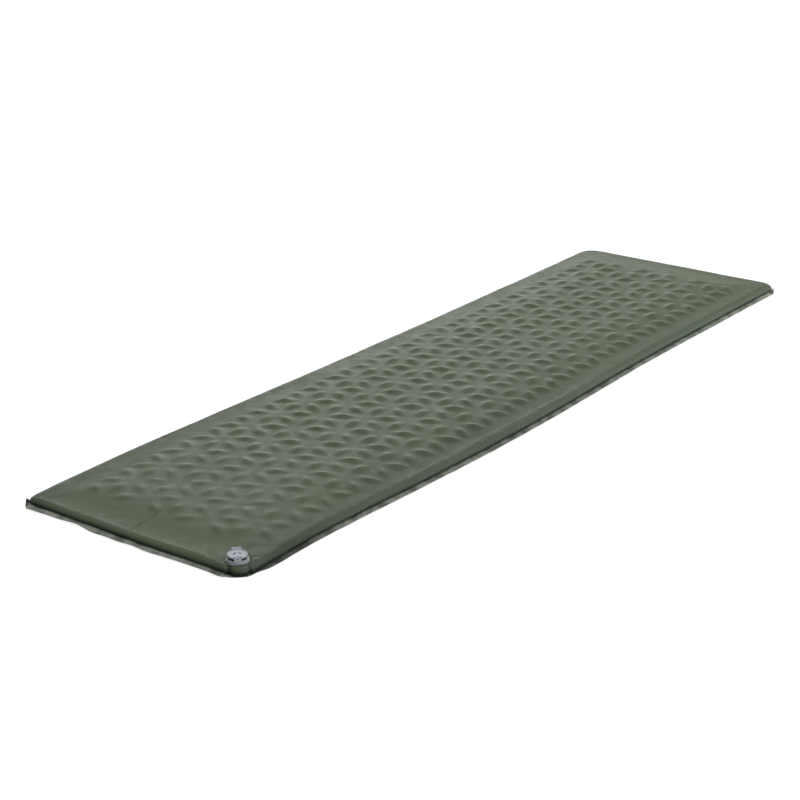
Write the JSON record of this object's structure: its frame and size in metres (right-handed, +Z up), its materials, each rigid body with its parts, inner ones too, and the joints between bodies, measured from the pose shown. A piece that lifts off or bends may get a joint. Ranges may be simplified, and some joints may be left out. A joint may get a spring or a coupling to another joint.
{
  "type": "self-inflating sleeping pad",
  "caption": "Thin self-inflating camping mat: slotted foam core between two laminated sheets welded at the edge, with a hinged flat valve in one corner.",
  "frame": {"origin": "centre of the pad's bounding box on the ground plane it lies on", "axes": "+X across the pad, +Y along it away from the valve end, +Z up; the valve is in the +X, -Y corner"},
  "size_m": [0.5, 1.83, 0.0329],
  "materials": {
    "top_fabric": "fine plain weave with a soft coated sheen",
    "bottom_fabric": "fine plain weave, matt grip coating",
    "foam": "open-cell foam",
    "valve_plastic": "light grey moulded plastic, slightly translucent",
    "inner_plastic": "grey moulded plastic",
    "silicone": "soft silicone",
    "pin_steel": "drawn wire"
  },
  "bodies": {
    "pad": {"top_sheet": "top_fabric", "bottom_sheet": "bottom_fabric", "foam_core": "foam", "valve_base": "inner_plastic", "valve_cage": "inner_plastic", "collar_gasket": "silicone", "valve_collar": "valve_plastic", "valve_core": "inner_plastic", "core_seal": "silicone", "hinge_pin": "pin_steel"},
    "cap": {"valve_cap": "valve_plastic", "cap_seal": "silicone"},
    "flap": {"check_flap": "silicone"}
  },
  "joints": [
    {"name": "cap_hinge", "type": "hinge", "parent": "pad", "child": "cap", "pos_m": [0.19722, -0.86222, 0.0296], "axis": [-0.7071, -0.7071, 0], "range_deg": [0, 150]},
    {"name": "flap_swing", "type": "hinge", "parent": "pad", "child": "flap", "pos_m": [0.20493, -0.86993, 0.02005], "axis": [0.7071, 0.7071, 0], "range_deg": [0, 30], "stiffness_Nm_per_rad": 0.00005, "springref_deg": -17.19}
  ]
}
